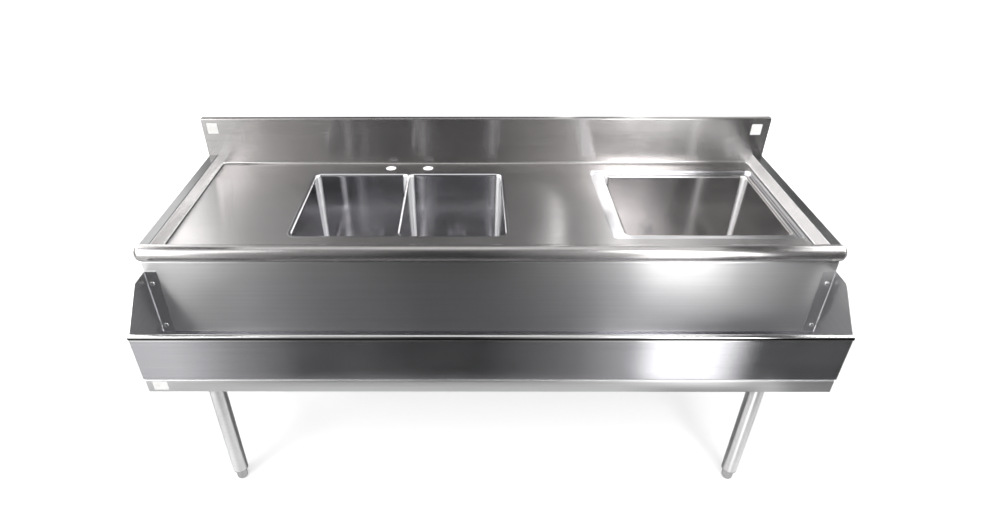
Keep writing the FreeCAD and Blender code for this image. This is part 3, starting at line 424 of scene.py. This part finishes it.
def add_label(name, face, centre, width, height, material):
    """A blank sticker on an upright face that looks to the front: rounded corners and a soft edge."""
    mesh = bmesh.new()
    outline = []
    for quarter, (right, up) in enumerate(((1, 1), (-1, 1), (-1, -1), (1, -1))):
        for turn in range(LABEL_TURNS + 1):
            angle = math.pi / 2 * (quarter + turn / LABEL_TURNS)
            outline.append(mesh.verts.new((
                centre[0] + right * (width / 2 - LABEL_CORNER) + LABEL_CORNER * math.cos(angle), face,
                centre[1] + up * (height / 2 - LABEL_CORNER) + LABEL_CORNER * math.sin(angle))))
    back = mesh.faces.new(outline)
    front = bmesh.ops.extrude_face_region(mesh, geom=[back])["geom"]
    moved = [item for item in front if isinstance(item, bmesh.types.BMVert)]
    bmesh.ops.translate(mesh, verts=moved, vec=(0.0, -LABEL_THICKNESS, 0.0))
    rim = [edge for edge in mesh.edges if all(vertex in moved for vertex in edge.verts)]
    bmesh.ops.bevel(mesh, geom=rim, offset=LABEL_THICKNESS / 2, segments=2, affect="EDGES")
    bmesh.ops.recalc_face_normals(mesh, faces=mesh.faces)
    data = bpy.data.meshes.new(name)
    mesh.to_mesh(data)
    mesh.free()
    piece = bpy.data.objects.new(name, data)
    bpy.context.scene.collection.objects.link(piece)
    data.materials.append(material)
    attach(piece, "frame")


def add_labels():
    """Three blank stickers, on the splash and on the channel under the rail."""
    paper = label_paper("label_blank")
    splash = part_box("end_lip_left")[1][1] + WELD_GAP
    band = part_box("rail_channel")[0][1]
    for name, centre, width, height in SPLASH_LABELS:
        add_label(name, splash, centre, width, height, paper)
    name, centre, width, height = CHANNEL_LABEL
    add_label(name, band, centre, width, height, paper)


def panel(name, corners):
    """A flat four-cornered sheet for the stage."""
    mesh = bpy.data.meshes.new(name)
    mesh.from_pydata(corners, [], [(0, 1, 2, 3)])
    piece = bpy.data.objects.new(name, mesh)
    bpy.context.scene.collection.objects.link(piece)
    return piece


def card(name, corners, steps, lights=False, axis="X"):
    """A studio card that the camera doesn't see, lit in soft steps: (place, level) pairs along an axis."""
    piece = panel(name, corners)
    material = bpy.data.materials.new(name)
    material.use_nodes = True
    tree = material.node_tree
    tree.nodes.clear()
    output = tree.nodes.new("ShaderNodeOutputMaterial")
    glow = node_in(tree, "ShaderNodeEmission", Strength=BRIGHTEST)
    tree.links.new(glow.outputs["Emission"], output.inputs["Surface"])
    low, high = steps[0][0], steps[-1][0]
    ramp = tree.nodes.new("ShaderNodeValToRGB")
    along = parts_of(tree, place_in(tree))[axis]
    tree.links.new(ranged(tree, along, 0.0, 1.0, low, high), ramp.inputs["Fac"])
    stops = ramp.color_ramp.elements
    while len(stops) < len(steps):
        stops.new(0.5)
    for stop, (at, level) in zip(stops, steps):
        stop.position = (at - low) / (high - low)
        stop.color = grey(level / BRIGHTEST)
    tree.links.new(ramp.outputs["Color"], glow.inputs["Color"])
    piece.data.materials.append(material)
    piece.visible_camera = False
    piece.visible_diffuse = lights
    piece.visible_shadow = False


def upright(y, left, right, low, high):
    """Corners of an upright card that faces along y."""
    return [(left, y, low), (right, y, low), (right, y, high), (left, y, high)]


def sideways(x, near, far, low, high):
    """Corners of an upright card that faces along x."""
    return [(x, near, low), (x, far, low), (x, far, high), (x, near, high)]


def level_sheet(z, left, right, near, far):
    """Corners of a level sheet."""
    return [(left, near, z), (right, near, z), (right, far, z), (left, far, z)]


def add_cards():
    """The studio cards that the steel mirrors."""
    card("front_left", upright(y=-3.9, left=-6.0, right=0.8, low=0.0, high=7.5), LEFT_LIGHTS, lights=True)
    card("front_right", upright(y=-1.7, left=0.1, right=3.2, low=0.0, high=3.4), RIGHT_LIGHTS, lights=True)
    card("front_near", upright(y=-0.62, left=-1.6, right=1.6, low=0.0, high=0.75), NEAR_LIGHTS)
    card("front_band", upright(y=-0.36, left=-0.9, right=0.9, low=0.43, high=0.505), BAND_LIGHTS)
    # A dim sheet on the floor under the sink, seen only in reflections: painted shade in place of the sink's
    # shadow.
    card("floor_behind_painted_shade", level_sheet(z=0.003, left=-1.6, right=1.6, near=-0.12, far=1.6),
         [(-1.6, BEHIND_SHADE_LEVEL), (1.6, BEHIND_SHADE_LEVEL)])
    card("back_far", upright(y=2.5, left=-3.6, right=3.6, low=0.0, high=4.2), BACK_LIGHTS, lights=True)
    for side, word in ((-1, "left"), (1, "right")):
        card("side_" + word, sideways(x=side * SIDE_X, near=-3.4, far=2.5, low=0.0, high=6.0), SIDE_LIGHTS,
             axis="Z")
        left, right = side * MAT_X - MAT_HALF, side * MAT_X + MAT_HALF
        card("mat_" + word, level_sheet(z=0.004, left=left, right=right, near=-0.62, far=-0.2),
             [(left, MAT_LEVEL), (right, MAT_LEVEL)])


def add_surround():
    """A world that the camera sees as white, and that fills in a little light."""
    world = bpy.data.worlds.new("surround")
    bpy.context.scene.world = world
    world.use_nodes = True
    tree = world.node_tree
    tree.nodes.clear()
    output = tree.nodes.new("ShaderNodeOutputWorld")
    seen = node_in(tree, "ShaderNodeBackground", Color=WHITE, Strength=1.0)
    fill = node_in(tree, "ShaderNodeBackground", Color=WHITE, Strength=FILL_LIGHT)
    path = tree.nodes.new("ShaderNodeLightPath")
    direct = computed(tree, "MAXIMUM", path.outputs["Is Camera Ray"], path.outputs["Is Transmission Ray"])
    mix = tree.nodes.new("ShaderNodeMixShader")
    tree.links.new(direct, mix.inputs["Fac"])
    tree.links.new(fill.outputs["Background"], mix.inputs[1])
    tree.links.new(seen.outputs["Background"], mix.inputs[2])
    tree.links.new(mix.outputs["Shader"], output.inputs["Surface"])


def add_floor():
    """A pale floor that keeps the sink's shadow and fades to white away from it."""
    floor = panel("floor", level_sheet(0.0, -FLOOR_HALF, FLOOR_HALF, -FLOOR_HALF, FLOOR_HALF))
    material, tree, surface = new_material("floor_pale")
    surface.inputs["Base Color"].default_value = grey(FLOOR_TONE)
    surface.inputs["Roughness"].default_value = FLOOR_ROUGH
    output = [node for node in tree.nodes if node.type == "OUTPUT_MATERIAL"][0]
    away = tree.nodes.new("ShaderNodeVectorMath")
    away.operation = "LENGTH"
    tree.links.new(place_in(tree), away.inputs[0])
    glow = node_in(tree, "ShaderNodeEmission", Color=WHITE)
    tree.links.new(ranged(tree, away.outputs["Value"], *FLOOR_GLOW, *FLOOR_REACH), glow.inputs["Strength"])
    both = tree.nodes.new("ShaderNodeAddShader")
    tree.links.new(surface.outputs["BSDF"], both.inputs[0])
    tree.links.new(glow.outputs["Emission"], both.inputs[1])
    path = tree.nodes.new("ShaderNodeLightPath")
    mix = tree.nodes.new("ShaderNodeMixShader")
    tree.links.new(path.outputs["Is Camera Ray"], mix.inputs["Fac"])
    tree.links.new(surface.outputs["BSDF"], mix.inputs[1])
    tree.links.new(both.outputs["Shader"], mix.inputs[2])
    tree.links.new(mix.outputs["Shader"], output.inputs["Surface"])
    floor.data.materials.append(material)


def add_lamp(data, spot):
    """Hang a lamp that shines at the sink."""
    lamp = bpy.data.objects.new(data.name, data)
    bpy.context.scene.collection.objects.link(lamp)
    lamp.location = spot
    lamp.rotation_euler = (AIM - lamp.location).to_track_quat("-Z", "Y").to_euler()
    return lamp


def add_lamps():
    """A wide soft sun that the steel doesn't mirror, and a soft lamp overhead."""
    sun = bpy.data.lights.new("soft_day", "SUN")
    sun.energy = SUN_STRENGTH
    sun.angle = SUN_SPREAD
    add_lamp(sun, SUN_SPOT).visible_glossy = False
    top = bpy.data.lights.new("top", "AREA")
    top.shape = "RECTANGLE"
    top.size, top.size_y = TOP_SIZE
    top.energy = TOP_WATTS
    add_lamp(top, TOP_SPOT)


add_camera()
dress()
add_labels()
add_surround()
add_floor()
add_cards()
add_lamps()
bpy.context.scene.view_settings.view_transform = "Standard"
